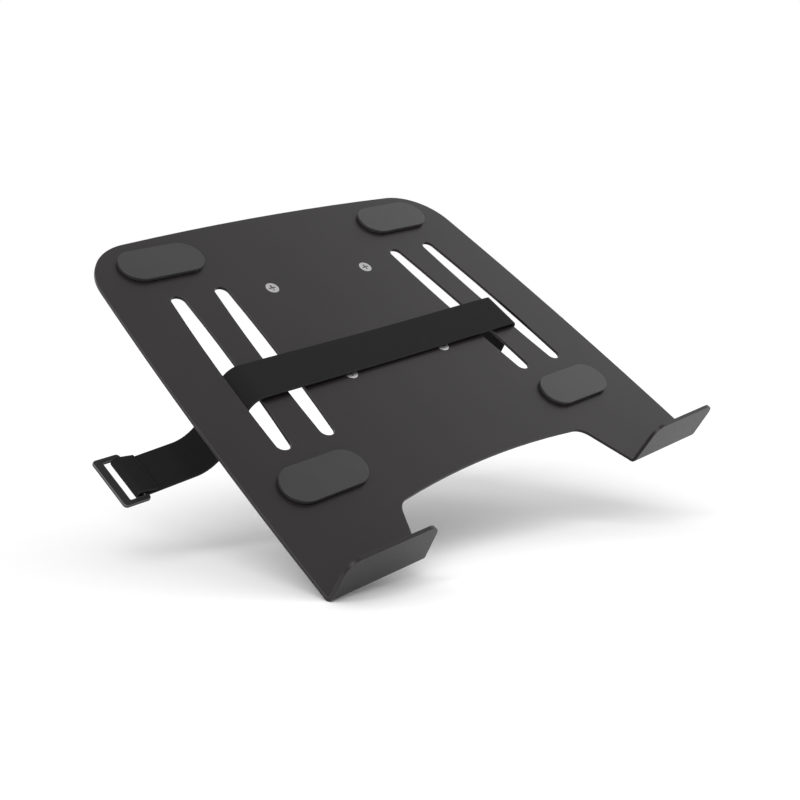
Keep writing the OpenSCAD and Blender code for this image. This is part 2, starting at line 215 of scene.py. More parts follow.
def grid_piece(name, body, points, texture_map=None, flip=False):
    """Makes a piece from points[i, j], a grid whose columns j run round it. texture_map[i, j] is
    its UV. flip turns the faces over, for a grid that runs the other way round."""
    quads = grid_quads(*points.shape[:2])
    mesh = bpy.data.meshes.new(name)
    if flip:
        quads = quads[:, ::-1]
    mesh.from_pydata(points.reshape(-1, 3).tolist(), [], quads.tolist())
    if texture_map is not None:
        # the closing column has the first one's value plus the last step, so that the map runs
        # back to its start over the last column of faces
        wide = np.concatenate([texture_map, texture_map[:, :1] + texture_map[:, -1:]
                               - texture_map[:, -2:-1]], 1)
        corner_uv = np.stack([wide[:-1, :-1], wide[:-1, 1:], wide[1:, 1:], wide[1:, :-1]], 2)
        if flip:
            corner_uv = corner_uv[:, :, ::-1]
        layer = mesh.uv_layers.new(name="UVMap")
        layer.data.foreach_set("uv", corner_uv.reshape(-1).astype(np.float32))
    work = bmesh.new()
    work.from_mesh(mesh)
    bmesh.ops.remove_doubles(work, verts=work.verts, dist=MERGE)
    bmesh.ops.dissolve_degenerate(work, edges=work.edges, dist=MERGE / 2)
    open_edges = sum(1 for e in work.edges if len(e.link_faces) != 2)
    volume = work.calc_volume(signed=True)
    work.to_mesh(mesh)
    work.free()
    print(f"{name}: {len(mesh.polygons)} faces, {open_edges} open edges, {volume * 1e6:.3f} cm3")
    piece = smooth_piece(name, mesh)
    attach(piece, body)
    return piece


def ease(t):
    """0 to 1 with a soft start and end: 3 t^2 - 2 t^3."""
    t = np.clip(t, 0, 1)
    return t * t * (3 - 2 * t)


# %% [markdown]
# Shared effects
#
# Three effects are used by more than one finish, so each is a node group with named inputs. Fine
# grain is the tiny unevenness of a coat, a moulding or a rolled sheet. Soft edge finds edges by
# comparing the surface's direction with a slightly rounded one, which also gives the thin
# highlight that a real edge has. Woven makes the crossed threads of a cloth on its own map.

# %% Node groups
def new_group(name, inputs, outputs):
    """An empty shader node group with named sockets; returns the group, its inputs, its outputs."""
    group = bpy.data.node_groups.new(name, "ShaderNodeTree")
    kinds = {"v": "NodeSocketVector", "f": "NodeSocketFloat"}
    for label, kind, value in inputs:
        socket = group.interface.new_socket(label, in_out="INPUT", socket_type=kinds[kind])
        if value is not None:
            socket.default_value = value
    for label, kind in outputs:
        group.interface.new_socket(label, in_out="OUTPUT", socket_type=kinds[kind])
    start = group.nodes.new("NodeGroupInput")
    end = group.nodes.new("NodeGroupOutput")
    return group, start.outputs, end.inputs


def fine_grain_group():
    """Height: two noises, one fine and one five times coarser, mixed 2 to 1. Cloud: a slow noise
    for faint changes of colour."""
    group, given, wanted = new_group(
        "fine_grain",
        [("Vector", "v", None), ("Grain Size", "f", 0.0005), ("Cloud Size", "f", 0.05)],
        [("Height", "f"), ("Cloud", "f")])

    def noise(size, times, detail):
        scale = math(group, "DIVIDE", times, size)
        return add_node(group, "ShaderNodeTexNoise", Vector=given["Vector"], Scale=scale,
                        Detail=detail, Roughness=0.55).outputs["Fac"]

    fine = noise(given["Grain Size"], 1.0, 2.0)
    coarse = noise(given["Grain Size"], 0.2, 1.0)
    height = math(group, "MULTIPLY_ADD", fine, 0.67, math(group, "MULTIPLY", coarse, 0.33))
    group.links.new(height, wanted["Height"])
    group.links.new(noise(given["Cloud Size"], 1.0, 3.0), wanted["Cloud"])
    return group


def soft_edge_group():
    """Normal: the surface's direction, rounded over Radius. Edge: Gain times one minus the dot
    product of that and the true direction, a mask from 0 on the flats to 1 on the edges."""
    group, given, wanted = new_group(
        "soft_edge", [("Radius", "f", 0.0004), ("Gain", "f", 6.0)],
        [("Normal", "v"), ("Edge", "f")])
    rounded = add_node(group, "ShaderNodeBevel", samples=6, Radius=given["Radius"]).outputs[0]
    true = add_node(group, "ShaderNodeNewGeometry").outputs["Normal"]
    dot = add_node(group, "ShaderNodeVectorMath", operation="DOT_PRODUCT", in0=rounded, in1=true)
    turned = math(group, "SUBTRACT", 1.0, dot.outputs["Value"])
    edge = math(group, "MULTIPLY", turned, given["Gain"], clamp=True)
    group.links.new(rounded, wanted["Normal"])
    group.links.new(edge, wanted["Edge"])
    return group


def woven_group():
    """Height: a plain weave, (1 + sin(pi u / Pitch) sin(pi v / Pitch)) / 2 on the map (u, v), in
    which each thread goes over one and under the next, mixed with a noise by the input Fuzz. The
    output Fuzz is that noise. Pitch is the distance between threads."""
    group, given, wanted = new_group(
        "woven", [("Map", "v", None), ("Pitch", "f", 0.001), ("Fuzz", "f", 0.4)],
        [("Height", "f"), ("Fuzz", "f")])
    split = add_node(group, "ShaderNodeSeparateXYZ", Vector=given["Map"])
    turn = math(group, "DIVIDE", np.pi, given["Pitch"])
    warp = math(group, "SINE", math(group, "MULTIPLY", split.outputs[0], turn))
    weft = math(group, "SINE", math(group, "MULTIPLY", split.outputs[1], turn))
    weave = math(group, "MULTIPLY_ADD", math(group, "MULTIPLY", warp, weft), 0.5, 0.5)
    scale = math(group, "DIVIDE", 1.6, given["Pitch"])
    fuzz = add_node(group, "ShaderNodeTexNoise", Vector=given["Map"], Scale=scale, Detail=4.0,
                    Roughness=0.65).outputs["Fac"]
    both = add_node(group, "ShaderNodeMix", data_type="FLOAT", in0=given["Fuzz"], in2=weave,
                    in3=fuzz)
    group.links.new(both.outputs[0], wanted["Height"])
    group.links.new(fuzz, wanted["Fuzz"])
    return group


fine_grain = fine_grain_group()
soft_edge = soft_edge_group()
woven = woven_group()
print("node groups:", [g.name for g in bpy.data.node_groups])

# %% [markdown]
# Finish helper
#
# A finish is a Principled shader with two colours mixed by a mask, a roughness range, and a bump.
# Values that are the same all over stay on the shader's own sockets.

# %% Finish helper
def start_finish(name, **constants):
    """A material with one Principled shader; constants go onto the shader's own sockets."""
    material = bpy.data.materials.new(name)
    tree = node_tree(material)
    shader = add_node(tree, "ShaderNodeBsdfPrincipled", **constants)
    add_node(tree, "ShaderNodeOutputMaterial", Surface=shader.outputs[0])
    return material, tree, shader


def place(tree, centre=(0, 0, 0)):
    """Object coordinates, moved so that a pattern is centred on centre."""
    spot = add_node(tree, "ShaderNodeTexCoord").outputs["Object"]
    return add_node(tree, "ShaderNodeMapping", Vector=spot,
                    Location=tuple(-c for c in centre)).outputs[0]


def use_group(tree, group, **inputs):
    """Places a node group in a material with its own values."""
    return add_node(tree, "ShaderNodeGroup", node_tree=group, **inputs).outputs


def mix_colours(tree, mask, low, high):
    """A colour between low and high by a mask. Either may be a socket or a plain colour."""
    def rgba(c):
        return c if isinstance(c, bpy.types.NodeSocket) else (*c, 1.0)
    return add_node(tree, "ShaderNodeMix", data_type="RGBA", in0=mask, in6=rgba(low),
                    in7=rgba(high)).outputs[2]


def in_range(tree, value, low, high):
    """Spreads a value of about 0.3 to 0.7, as noise has, over low to high."""
    return add_node(tree, "ShaderNodeMapRange", Value=value, in1=0.3, in2=0.7, in3=low,
                    in4=high).outputs[0]


def axis_part(tree, vector, axis):
    """One number of a vector: axis 0, 1 or 2 is x, y or z."""
    return add_node(tree, "ShaderNodeSeparateXYZ", Vector=vector).outputs[axis]


def set_colour(tree, shader, colour):
    """Links a colour to the shader."""
    tree.links.new(colour, shader.inputs["Base Color"])


def set_two_tone(tree, shader, noise, low, high):
    """A colour that wanders between low and high with a noise."""
    set_colour(tree, shader, mix_colours(tree, in_range(tree, noise, 0, 1), low, high))


def set_roughness(tree, shader, noise, low, high):
    """A roughness that wanders between low and high with a noise."""
    tree.links.new(in_range(tree, noise, low, high), shader.inputs["Roughness"])


def bump(tree, shader, height, distance, strength, normal=None):
    """Gives the shader a bump of that real height, on top of a normal."""
    node = add_node(tree, "ShaderNodeBump", Height=height, Distance=distance, Strength=strength)
    if normal is not None:
        tree.links.new(normal, node.inputs["Normal"])
    tree.links.new(node.outputs[0], shader.inputs["Normal"])


def finish_node(name, material):
    """Gives a solid its finish; its mesh isn't touched."""
    nodes[name].data.materials.clear()
    nodes[name].data.materials.append(material)


# %% [markdown]
# Powder coat
#
# The plate is charcoal powder coat: almost matt, with a fine orange-peel grain that is only seen
# up close. A thin painted highlight, a paler colour, runs along the plate's own edges. On the lips'
# edges the painted highlight is weaker, so its mask fades with height above the plate.

# %% Powder coat on the plate
COAT_LOW, COAT_HIGH = (0.0095, 0.0078, 0.0081), (0.0115, 0.0094, 0.0098)
COAT_PAINTED_HIGHLIGHT = (0.125, 0.118, 0.119)
# the share of the painted edge highlight is full up to the first height and least from the second
# on
EDGE_FULL, EDGE_LEAST = 0.8, 0.16
FULL_UP_TO, LEAST_FROM = 0.004, 0.008

coat, tree, shader = start_finish("powder_coat", IOR=1.5, Specular_IOR_Level=0.22)
grain = use_group(tree, fine_grain, Vector=place(tree), Grain_Size=0.00045, Cloud_Size=0.06)
edge = use_group(tree, soft_edge, Radius=0.00045, Gain=3.0)
body_colour = mix_colours(tree, in_range(tree, grain["Cloud"], 0, 1), COAT_LOW, COAT_HIGH)
fall = (EDGE_LEAST - EDGE_FULL) / (LEAST_FROM - FULL_UP_TO)
falling = math(tree, "MULTIPLY_ADD", axis_part(tree, place(tree), 2), fall,
               EDGE_FULL - fall * FULL_UP_TO)
highlight_share = math(tree, "MAXIMUM", math(tree, "MINIMUM", falling, EDGE_FULL), EDGE_LEAST)
# painted highlight: the edge mask paints a paler colour along the plate's edges
set_colour(tree, shader, mix_colours(tree, math(tree, "MULTIPLY", edge["Edge"], highlight_share),
                                     body_colour, COAT_PAINTED_HIGHLIGHT))
set_roughness(tree, shader, grain["Height"], 0.33, 0.41)
bump(tree, shader, grain["Height"], distance=0.00002, strength=0.6, normal=edge["Normal"])
finish_node("tray_plate", coat)
print("powder coat done")

# %% [markdown]
# Pads
#
# Each pad is a moulded rubber lozenge with round ends and an upper edge rounded by 0.3 mm. Its
# sides are duller, and their colour is painted paler than its skin: painted light on the sides.
# Its surface is a profile, height against distance from the pad's spine, carried round the
# outline: the spine is the line between the centres of the two round ends.

# %% Rubber finish
CORNERS = ("rear_left", "rear_right", "front_left", "front_right")
RUBBER_LOW, RUBBER_HIGH = (0.0100, 0.0097, 0.0098), (0.0125, 0.0121, 0.0122)
# painted light: the pads' sides get a paler colour in place of light reaching them
RUBBER_SIDE_PAINTED_LIGHT = (0.038, 0.037, 0.0372)
# the painted side light begins this far under the pad's top, and is full this much further down
SIDE_BEGIN, SIDE_FADE = 0.0001, 0.0003

rubber, tree, shader = start_finish("pad_rubber", IOR=1.5, Specular_IOR_Level=0.4)
grain = use_group(tree, fine_grain, Vector=place(tree), Grain_Size=0.0003, Cloud_Size=0.02)
top_colour = mix_colours(tree, in_range(tree, grain["Cloud"], 0, 1), RUBBER_LOW, RUBBER_HIGH)
pad_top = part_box("pad_rear_left")[1].z
depth = math(tree, "SUBTRACT", pad_top - SIDE_BEGIN, axis_part(tree, place(tree), 2))
painted_side_light = math(tree, "DIVIDE", depth, SIDE_FADE, clamp=True)
# painted light: the sides are mixed towards the paler side colour
set_colour(tree, shader, mix_colours(tree, painted_side_light, top_colour, RUBBER_SIDE_PAINTED_LIGHT))
set_roughness(tree, shader, grain["Height"], 0.35, 0.43)
bump(tree, shader, grain["Height"], distance=0.00004, strength=0.7)

# %% Four pads
PAD_L, PAD_W, PAD_ROUND, PAD_CROWN, PAD_CHAMFER = 0.0545, 0.024, 0.0003, 0.00005, 0.0002


def pad_points(centre, low, high, turns=32, steps=12, crown_steps=8):
    """For angle a round the outline and profile step (r, z): the point is the spine's end that a
    faces, plus r along a's direction, at height z. The profile runs from the middle of the lower
    face out to a chamfer, up, over a quarter circle, and in to a low crown."""
    half = (PAD_L - PAD_W) / 2
    a = np.concatenate([np.linspace(-np.pi / 2, np.pi / 2, turns),
                        np.linspace(np.pi / 2, 3 * np.pi / 2, turns)])
    end = np.repeat([half, -half], turns)
    q = np.linspace(0, np.pi / 2, steps)
    big = PAD_W / 2
    inwards = np.linspace(0.96, 0, crown_steps)
    across = np.concatenate([[0, big * 0.6, big - PAD_CHAMFER, big],
                             big - PAD_ROUND + PAD_ROUND * np.cos(q),
                             (big - PAD_ROUND) * inwards])
    up = np.concatenate([[low, low, low, low + PAD_CHAMFER],
                         high - PAD_CROWN - PAD_ROUND + PAD_ROUND * np.sin(q),
                         high - PAD_CROWN + PAD_CROWN * ease(1 - inwards)])
    points = np.zeros((len(across), len(a), 3))
    points[..., 0] = centre[0] + end[None] + across[:, None] * np.cos(a)[None]
    points[..., 1] = centre[1] + across[:, None] * np.sin(a)[None]
    points[..., 2] = up[:, None]
    return points


for label in CORNERS:
    low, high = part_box("pad_" + label)
    pad = grid_piece("moulded_pad_" + label, "tray",
                     pad_points((low + high) / 2, low.z, high.z))
    pad.data.materials.append(rubber)
    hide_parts("pad_" + label)

# %% [markdown]
# Adhesive films and screws
#
# The films under the pads are thin pale tape, and hardly show. The screws are zinc plated steel:
# fine rings from the turning tool run round the head, so each screw's finish is centred on it. The
# front pair has a paler tone, painted light that makes up for the strap's shade on them, and the
# cross recesses are painted paler, painted light against the shade down in them.

# %% Films
FILM_LOW, FILM_HIGH = (0.30, 0.27, 0.20), (0.38, 0.34, 0.26)
film_coat, tree, shader = start_finish("tape_film", IOR=1.47)
grain = use_group(tree, fine_grain, Vector=place(tree), Grain_Size=0.0008, Cloud_Size=0.01)
set_two_tone(tree, shader, grain["Cloud"], FILM_LOW, FILM_HIGH)
set_roughness(tree, shader, grain["Height"], 0.45, 0.6)
bump(tree, shader, grain["Height"], distance=0.00003, strength=0.5)
for label in CORNERS:
    finish_node("film_" + label, film_coat)

# %% Screws
# the front tone and the recess tone are painted light: paler colour in place of light
REAR_TONE, FRONT_PAINTED_LIGHT_TONE, RECESS_PAINTED_LIGHT_TONE = 0.34, 0.5, 0.6
TURNING_STEP, RECESS_DEPTH = 0.00022, 0.0012


def screw_finish(label, tone):
    """Zinc steel with turned rings: the bump is a sine of the distance from the screw's axis, and
    the colour, tone on the head, is painted paler down in the cross recess, as painted light
    against the shade there."""
    low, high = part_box("screw_" + label)
    centre = ((low.x + high.x) / 2, (low.y + high.y) / 2, high.z)
    material, tree, shader = start_finish("zinc_steel_" + label, Metallic=1.0)
    spot = place(tree, centre)
    grain = use_group(tree, fine_grain, Vector=spot, Grain_Size=0.0004, Cloud_Size=0.003)
    split = add_node(tree, "ShaderNodeSeparateXYZ", Vector=spot)
    radius = math(tree, "SQRT", math(tree, "ADD", math(tree, "POWER", split.outputs[0], 2.0),
                                     math(tree, "POWER", split.outputs[1], 2.0)))
    rings = math(tree, "SINE", math(tree, "MULTIPLY", radius, 2 * np.pi / TURNING_STEP))
    painted_recess_light = math(tree, "MULTIPLY", split.outputs[2], -1.0 / RECESS_DEPTH, clamp=True)
    zinc = mix_colours(tree, in_range(tree, grain["Cloud"], 0, 1), grey(tone), grey(tone * 1.25))
    # painted light: the recess is mixed towards a paler colour against its shade
    set_colour(tree, shader, mix_colours(tree, painted_recess_light, zinc, grey(RECESS_PAINTED_LIGHT_TONE)))
    set_roughness(tree, shader, grain["Height"], 0.38, 0.5)
    edge = use_group(tree, soft_edge, Radius=0.0002, Gain=2.0)
    height = math(tree, "MULTIPLY_ADD", rings, 0.2, grain["Height"])
    bump(tree, shader, height, distance=0.00001, strength=0.5, normal=edge["Normal"])
    finish_node("screw_" + label, material)


for label in CORNERS:
    screw_finish(label, FRONT_PAINTED_LIGHT_TONE if label.startswith("front") else REAR_TONE)
print("screws and films done")

# %% [markdown]
# The strap's path
#
# The strap is one flat band. Seen from the front its middle line runs from the free end on the
# right, up through the right outer slot, over the plate, down through the left outer slot, along
# the left tail and round the ring's bar, and ends folded back on itself. It is worked out from the
# same sizes as the solid: straight runs and arcs, one after the other, each starting where the last
# one ends with the same heading.

# %% Strap path
STRAP_W, STRAP_T, STRAP_Y = 0.0252, 0.0015, -0.0262
PLATE_T, TAIL_SLOPE, HANG_SLOPE = 0.002, np.radians(3.7), np.radians(52)
# LIFT is the gap between plate and strap in the middle, and RISE is how much it grows to the folds
LIFT, RISE = 0.0009, 0.0009
# the gaps between the strap and the slots' walls
LEFT_GAP, RIGHT_GAP = 0.0016, 0.00045
# the straight runs below the slots, and then along the tails
LEFT_DROP, LEFT_TAIL, RIGHT_DROP, RIGHT_TAIL = 0.029, 0.0352, 0.020, 0.066
# the loop's radius, the straight length of the folded end, and the gap under its cut edge
LOOP_R, FLAP_L, FOLD_GAP = 0.00225, 0.0102, 0.00025
# the ring's thickness, its bar's gap to the strap, and how far the bar lies before the tail's end
RING_T, BAR_GAP, BAR_BACK = 0.0018, 0.0003, 0.0022
# the outer slots: their centre, lean, half width in the middle, end radius and length
SLOT_X, SLOT_Y, SLOT_LEAN = 0.1053, -0.0125, np.radians(5.35)
SLOT_HALF, SLOT_END_R, SLOT_L = 0.00595, 0.0046, 0.120


def slot_middle(y):
    """How far the middle of an outer slot is from the centre line at y."""
    return SLOT_X - (y - SLOT_Y) * np.tan(SLOT_LEAN)


def slot_half(y):
    """Half the width of a slot at y: its sides are long arcs between round ends."""
    chord, sag = SLOT_L / 2 - SLOT_END_R, SLOT_HALF - SLOT_END_R
    arc_r = (chord ** 2 + sag ** 2) / (2 * sag)
    return SLOT_HALF - arc_r + np.sqrt(arc_r ** 2 - (y - SLOT_Y) ** 2)


def turn_points(start, heading, radius, turn, count):
    """Points after start on an arc that leaves along heading and turns by turn."""
    s = np.sign(turn)
    centre = start + radius * s * np.array([-np.sin(heading), np.cos(heading)])
    h = heading + turn * np.arange(1, count + 1)[:, None] / count
    return centre + radius * s * np.concatenate([np.sin(h), -np.cos(h)], 1)


def straight_points(start, heading, length, count):
    """Points after start on a straight run."""
    step = length * np.arange(1, count + 1)[:, None] / count
    return start + step * np.array([[np.cos(heading), np.sin(heading)]])


class Route:
    """A path that grows by straight runs and arcs, and remembers its heading."""

    def __init__(self, points, heading):
        self.points, self.heading = np.array(points, float), heading

    def ahead(self, length, count):
        self.points = np.concatenate(
            [self.points, straight_points(self.points[-1], self.heading, length, count)])

    def bend(self, radius, turn, count):
        self.points = np.concatenate(
            [self.points, turn_points(self.points[-1], self.heading, radius, turn, count)])
        self.heading += turn


def top_run(end_x, count=50):
    """The run over the plate: the height rises softly from the middle to the fold."""
    s = np.linspace(0, 1, count)
    return np.stack([end_x * s, PLATE_T + LIFT + STRAP_T / 2 + RISE * ease(s)], 1)


fold_left_r, fold_right_r, low_left_r, low_right_r = 0.0092, 0.0042, 0.0155, 0.040
lean_left, lean_right = np.radians(10), np.radians(2)
strap_back, strap_front = STRAP_Y + STRAP_W / 2, STRAP_Y - STRAP_W / 2
top_z = PLATE_T + LIFT + STRAP_T / 2 + RISE
left_face = -(slot_middle(strap_back) + slot_half(strap_back)) + LEFT_GAP
right_face = slot_middle(strap_front) - slot_half(strap_front) + RIGHT_GAP
left_x = left_face + np.sqrt((fold_left_r + STRAP_T / 2) ** 2 - (top_z - fold_left_r) ** 2)
right_x = right_face - np.sqrt((fold_right_r - STRAP_T / 2) ** 2
                               - max(0.0, PLATE_T - (top_z - fold_right_r)) ** 2)

left = Route(top_run(left_x), np.pi)
left.bend(fold_left_r, np.pi / 2 - lean_left, count=24)
left.ahead(LEFT_DROP, count=20)
left.bend(low_left_r, -(np.pi / 2 - lean_left - TAIL_SLOPE), count=24)
left.ahead(LEFT_TAIL, count=30)
tail_end, tail_heading = left.points[-1], left.heading
tail_up = np.array([np.sin(tail_heading), -np.cos(tail_heading)])
bar_centre = (tail_end + (STRAP_T / 2 + BAR_GAP + RING_T / 2) * tail_up
              - BAR_BACK * np.array([np.cos(tail_heading), np.sin(tail_heading)]))
# the folded end comes back down at the angle that leaves a small gap under its cut edge
flap_dip = (np.arccos((STRAP_T + FOLD_GAP - LOOP_R) / np.hypot(LOOP_R, FLAP_L))
            - np.arctan2(FLAP_L, LOOP_R))
left.bend(LOOP_R, -np.pi - flap_dip, count=36)
flap_heading = left.heading
left.ahead(FLAP_L, count=10)

right = Route(top_run(right_x), 0.0)
right.bend(fold_right_r, -(np.pi / 2 - lean_right), count=24)
right.ahead(RIGHT_DROP, count=14)
right.bend(low_right_r, np.pi / 2 - lean_right - HANG_SLOPE, count=24)
right.ahead(RIGHT_TAIL, count=60)
strap_path = np.concatenate([right.points[::-1], left.points[1:]])
steps = np.linalg.norm(np.diff(strap_path, axis=0), axis=1)

# %% [markdown]
# The strap
#
# The band is woven tape with a short looped pile, 1.5 mm thick, with round side edges whose
# colour is painted paler: painted light on the sides. Its section is carried along the path: at
# each point the section stands square to the path. The map (UV) is in metres along the band and
# round it, so that the weave keeps its real size, except on one strip along the rear edge, where
# the map runs back to its start.

# %% Strap finish
PILE_LOW, PILE_HIGH, STRAP_SIDE_PAINTED_LIGHT = grey(0.0070), grey(0.0110), grey(0.02)
# the painted side light begins this far from the strap's side, and is full this much nearer to it
EDGE_BEGIN, EDGE_FADE = 0.0005, 0.0003

webbing, tree, shader = start_finish("webbing", IOR=1.45, Specular_IOR_Level=0.12,
                                     Sheen_Weight=0.02, Sheen_Roughness=0.5)
cloth_map = add_node(tree, "ShaderNodeUVMap", uv_map="UVMap").outputs[0]
weave = use_group(tree, woven, Map=cloth_map, Pitch=0.0009, Fuzz=0.55)
face_colour = mix_colours(tree, in_range(tree, weave["Fuzz"], 0, 1), PILE_LOW, PILE_HIGH)
across = axis_part(tree, place(tree, (0, STRAP_Y, 0)), 1)
sidewards = math(tree, "SUBTRACT", math(tree, "ABSOLUTE", across), STRAP_W / 2 - EDGE_BEGIN)
painted_strap_side_light = math(tree, "DIVIDE", sidewards, EDGE_FADE, clamp=True)
# painted light: the strap's sides are mixed towards a paler colour
set_colour(tree, shader, mix_colours(tree, painted_strap_side_light, face_colour, STRAP_SIDE_PAINTED_LIGHT))
set_roughness(tree, shader, weave["Fuzz"], 0.8, 0.95)
bump(tree, shader, weave["Height"], distance=0.00012, strength=0.7)


# %% Strap
def path_normals(path):
    """Unit normals on the left of a path, from the direction between each point's neighbours."""
    ahead = np.gradient(path, axis=0)
    ahead /= np.linalg.norm(ahead, axis=1)[:, None]
    return np.stack([-ahead[:, 1], ahead[:, 0]], 1)


def band_section(width, thick, edge=0.0005, flats=10, turns=6):
    """A band's section as (y, z): a long rectangle with quarter circles of radius edge at its
    corners, anticlockwise, starting on its upper face."""
    a = np.linspace(0, np.pi / 2, turns)
    corner = np.stack([np.cos(a), np.sin(a)], 1) * edge
    half = np.array([width / 2 - edge, thick / 2 - edge])
    upper = np.stack([np.linspace(half[0], -half[0], flats)[1:-1],
                      np.full(flats - 2, thick / 2)], 1)
    left_top = np.stack([-corner[::-1, 0], corner[::-1, 1]], 1) + half * [-1, 1]
    left_low = -corner + half * [-1, -1]
    lower = -upper
    right_low = np.stack([corner[::-1, 0], -corner[::-1, 1]], 1) + half * [1, -1]
    right_top = corner + half
    return np.concatenate([upper, left_top, left_low, lower, right_low, right_top])


def band_map(run, section):
    """The UV of a band: the distance along it, and the distance round its section."""
    girth = np.cumsum(np.linalg.norm(np.diff(section, axis=0), axis=1))
    return np.stack(np.broadcast_arrays(run[:, None], np.concatenate([[0], girth])[None]), -1)


def carry_section(path, section, middle_y):
    """Point (i, j) is path[i] plus section z along the path's normal, with section y across it. The
    first and last rows are flattened onto the band's middle, which closes the ends."""
    normal = path_normals(path)
    rows = np.concatenate([[0], np.arange(len(path)), [len(path) - 1]])
    height = np.repeat(section[None, :, 1], len(rows), 0)
    height[[0, -1]] = 0
    offset = normal[rows][:, None, :] * height[..., None]
    points = np.zeros((len(rows), len(section), 3))
    points[..., 0] = path[rows][:, None, 0] + offset[..., 0]
    points[..., 2] = path[rows][:, None, 1] + offset[..., 1]
    points[..., 1] = middle_y + section[None, :, 0]
    return points


section = band_section(STRAP_W, STRAP_T)
run = np.concatenate([[0], np.cumsum(steps)])
run = np.concatenate([run[:1], run, run[-1:]])
strap = grid_piece("woven_strap", "strap", carry_section(strap_path, section, STRAP_Y),
                   texture_map=band_map(run, section))
strap.data.materials.append(webbing)
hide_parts("strap_webbing")

# %% [markdown]
# Hook patch
#
# The patch under the free end closes the strap on itself. Its base is a thin tape, and on it stand
# rows of small hooks: each hook is a thread bent over at the top, a four-sided tube along a short
# curved path. All of the hooks are one array made from one hook and a grid of places. Hooks and,
# later, stitches are many short tubes in one mesh, so a helper is shared between them.

# %% Tubes on the strap
def tube_piece(name, tubes, material):
    """One piece on the strap from tubes[n, i, j], in which columns j run round each tube. Its ends
    close where their points fall together, and then its faces are turned outwards."""
    count, rows, columns = tubes.shape[:3]
    starts = np.arange(count) * rows * columns
    quads = grid_quads(rows, columns)[None] + starts[:, None, None]
    mesh = bpy.data.meshes.new(name)
    mesh.from_pydata(tubes.reshape(-1, 3).tolist(), [], quads.reshape(-1, 4).tolist())
    work = bmesh.new()
    work.from_mesh(mesh)
    bmesh.ops.remove_doubles(work, verts=work.verts, dist=MERGE)
    bmesh.ops.recalc_face_normals(work, faces=work.faces)
    work.to_mesh(mesh)
    work.free()
    mesh.materials.append(material)
    print(f"{name}: {count} tubes, {len(mesh.polygons)} faces")
    piece = smooth_piece(name, mesh)
    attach(piece, "strap")
    return piece


# %% Hook patch
PATCH_L, PATCH_END, TAPE_T, TAPE_ROUND = 0.060, 0.0015, 0.0004, 0.00015
HOOK_FOOT, HOOK_STEM, HOOK_BEND_R, HOOK_R = 0.0003, 0.00075, 0.00022, 0.00009
HOOK_STEP_X, HOOK_STEP_Y, HOOK_RIM_X, HOOK_RIM_Y = 0.0013, 0.0014, 0.0024, 0.0016
free_end = right.points[-1]


def on_tail(points):
    """Moves points given as (distance back from the free end, y, height under the strap's lower
    face) into place on the right tail."""
    x, y, z = points[..., 0], points[..., 1], points[..., 2]
    c, s = np.cos(-HANG_SLOPE), np.sin(-HANG_SLOPE)
    low = -STRAP_T / 2 - z
    return np.stack([free_end[0] - x * c - low * s, STRAP_Y + y,
                     free_end[1] - x * s + low * c], -1)


def hook_points():
    """One hook: up from the tape and over in nine tenths of a half circle, four-sided all along."""
    a = np.linspace(0, np.pi * 0.9, 5)
    bend = np.stack([HOOK_BEND_R * (1 - np.cos(a)), HOOK_STEM + HOOK_BEND_R * np.sin(a)], 1)
    spine = np.concatenate([[[0, HOOK_FOOT]], bend])
    normal = path_normals(spine)
    corner = np.array([[1, 0], [0, 1], [-1, 0], [0, -1]]) * HOOK_R
    rows = np.concatenate([[0], np.arange(len(spine)), [len(spine) - 1]])
    swell = np.ones((len(rows), 1))
    swell[[0, -1]] = 0
    points = np.zeros((len(rows), len(corner), 3))
    points[..., [0, 2]] = (spine[rows][:, None]
                           + normal[rows][:, None] * corner[None, :, :1] * swell[..., None])
    points[..., 1] = corner[None, :, 1] * swell
    return points


hook_tape, tree, shader = start_finish("hook_tape", IOR=1.45, Specular_IOR_Level=0.35)
cloth_map = add_node(tree, "ShaderNodeUVMap", uv_map="UVMap").outputs[0]
weave = use_group(tree, woven, Map=cloth_map, Pitch=0.0007, Fuzz=0.3)
set_two_tone(tree, shader, weave["Fuzz"], grey(0.009), grey(0.014))
set_roughness(tree, shader, weave["Fuzz"], 0.5, 0.65)
bump(tree, shader, weave["Height"], distance=0.00008, strength=0.6)
base_x = np.linspace(PATCH_END, PATCH_END + PATCH_L, 40)
base_x = np.concatenate([base_x[:1], base_x, base_x[-1:]])
base_section = band_section(STRAP_W, TAPE_T, edge=TAPE_ROUND)
base = np.zeros((len(base_x), len(base_section), 3))
base[..., 0] = base_x[:, None]
base[..., 1] = base_section[None, :, 0]
base[..., 2] = TAPE_T / 2 + base_section[None, :, 1]
base[[0, -1], :, 2] = TAPE_T / 2
patch = grid_piece("hook_patch", "strap", on_tail(base),
                   texture_map=band_map(base_x, base_section))
patch.data.materials.append(hook_tape)

# %% Hooks
hook_thread, tree, shader = start_finish("hook_thread", IOR=1.5, Specular_IOR_Level=0.5)
grain = use_group(tree, fine_grain, Vector=place(tree), Grain_Size=0.0002, Cloud_Size=0.004)
set_two_tone(tree, shader, grain["Cloud"], grey(0.012), grey(0.020))
set_roughness(tree, shader, grain["Height"], 0.35, 0.5)
spots_x = np.arange(PATCH_END + HOOK_RIM_X, PATCH_END + PATCH_L - HOOK_RIM_X, HOOK_STEP_X)
spots_y = np.arange(-STRAP_W / 2 + HOOK_RIM_Y, STRAP_W / 2 - HOOK_STEP_Y, HOOK_STEP_Y)
gx, gy = (g.ravel() for g in np.meshgrid(spots_x, spots_y, indexing="ij"))
